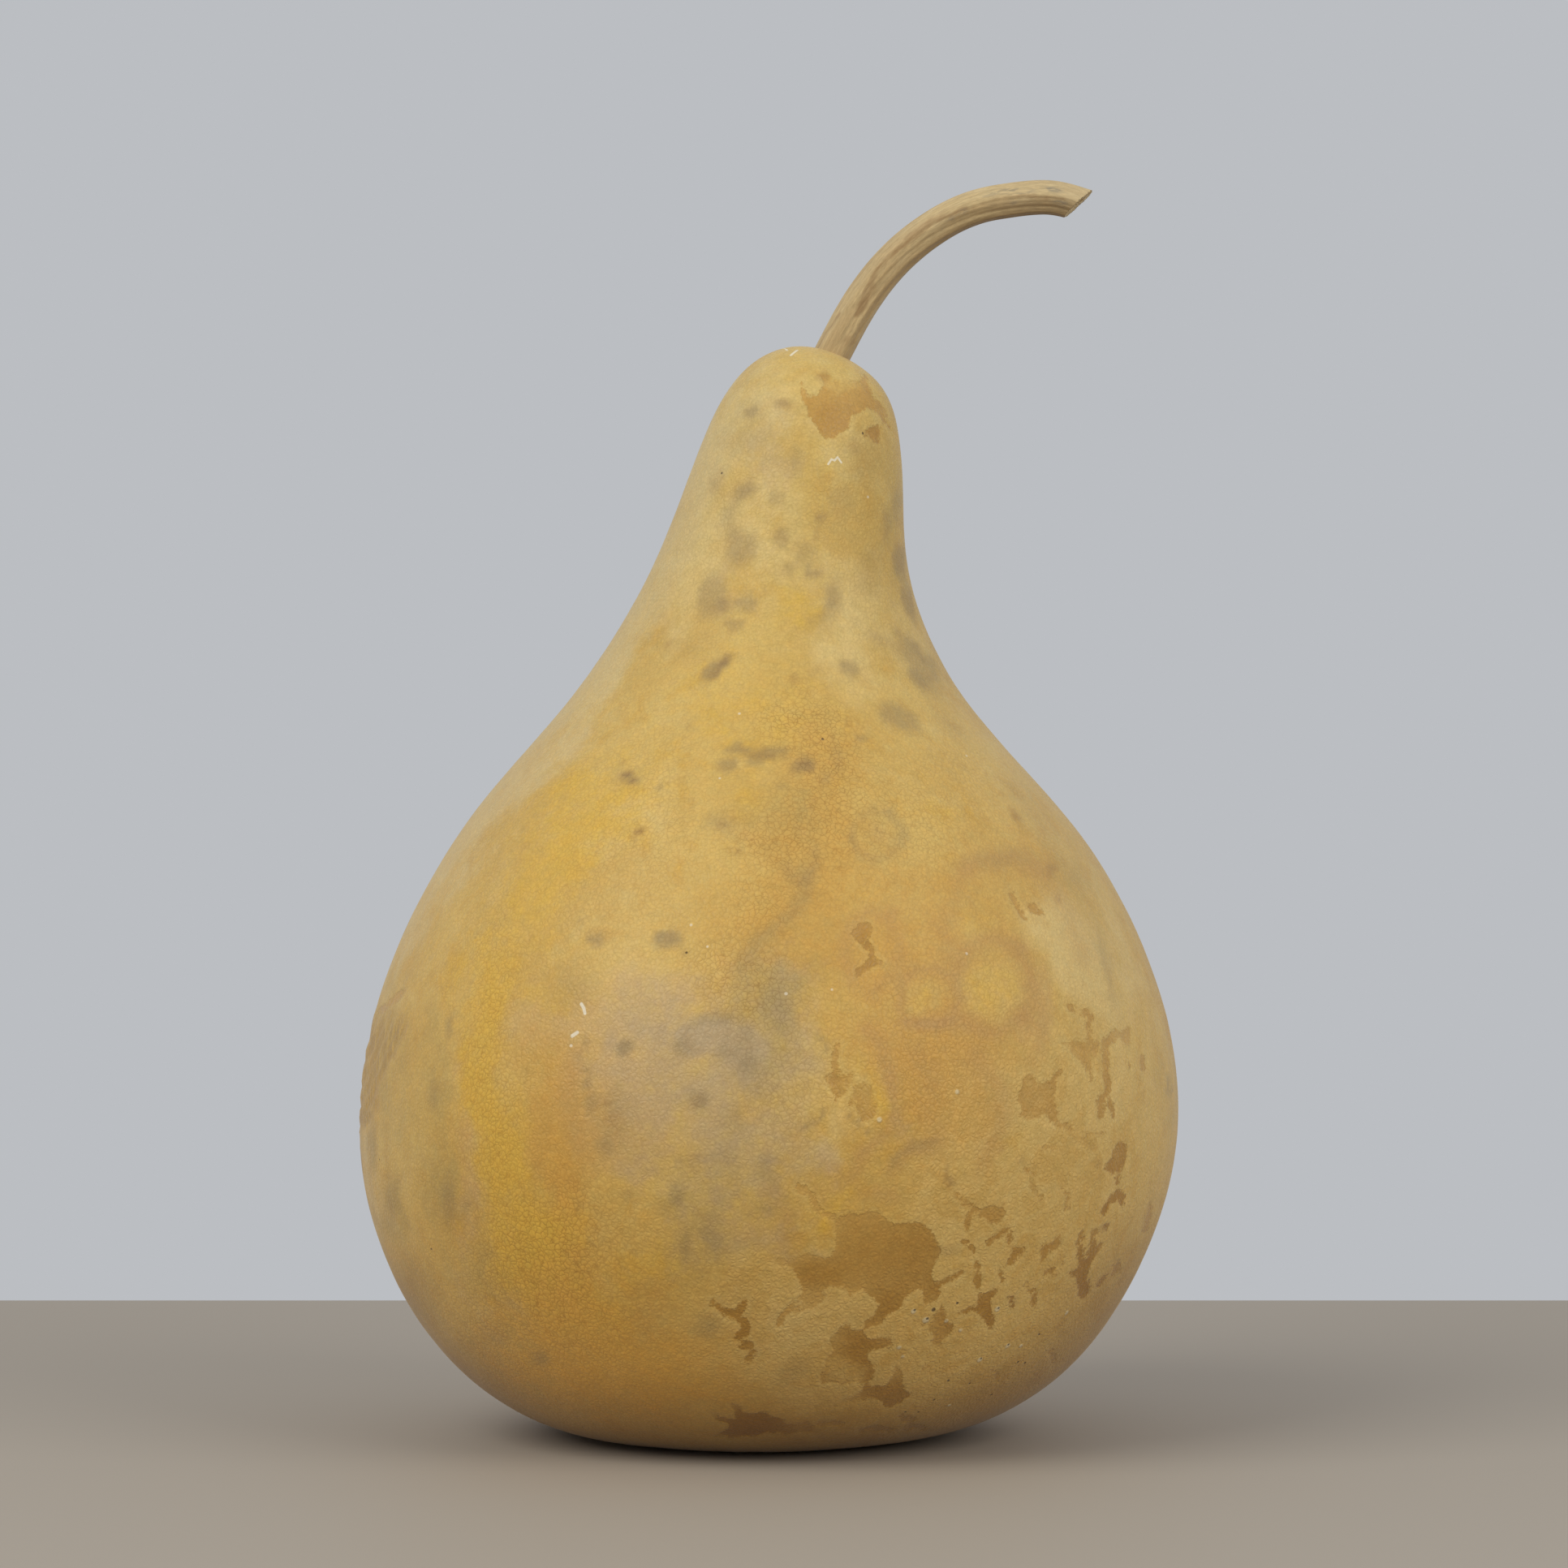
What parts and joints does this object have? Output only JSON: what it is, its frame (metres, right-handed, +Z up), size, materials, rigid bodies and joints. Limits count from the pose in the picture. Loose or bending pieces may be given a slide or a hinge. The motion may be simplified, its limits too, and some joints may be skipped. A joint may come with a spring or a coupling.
{
  "type": "dried bottle gourd",
  "caption": "Dried bottle gourd with a round belly, a leaning neck, mould-mottled ochre skin and a bowed woody stalk. It stands on its own base.",
  "frame": {"origin": "on the table, under the middle of the belly, at the height of the flat spot that the gourd rests on", "axes": "+Z up from the flat spot to the crown, +X to the side that the stalk bows to, -Y towards the camera of the picture"},
  "size_m": [0.1998, 0.1946, 0.3056],
  "materials": {
    "gourd_skin": "dry and leathery, faintly waxy, with brown scaled-off patches and grey mould marks",
    "stem_wood": "dry, ribbed and fibrous, matte"
  },
  "bodies": {
    "root": {"gourd": "gourd_skin", "stem": "stem_wood"}
  },
  "joints": []
}
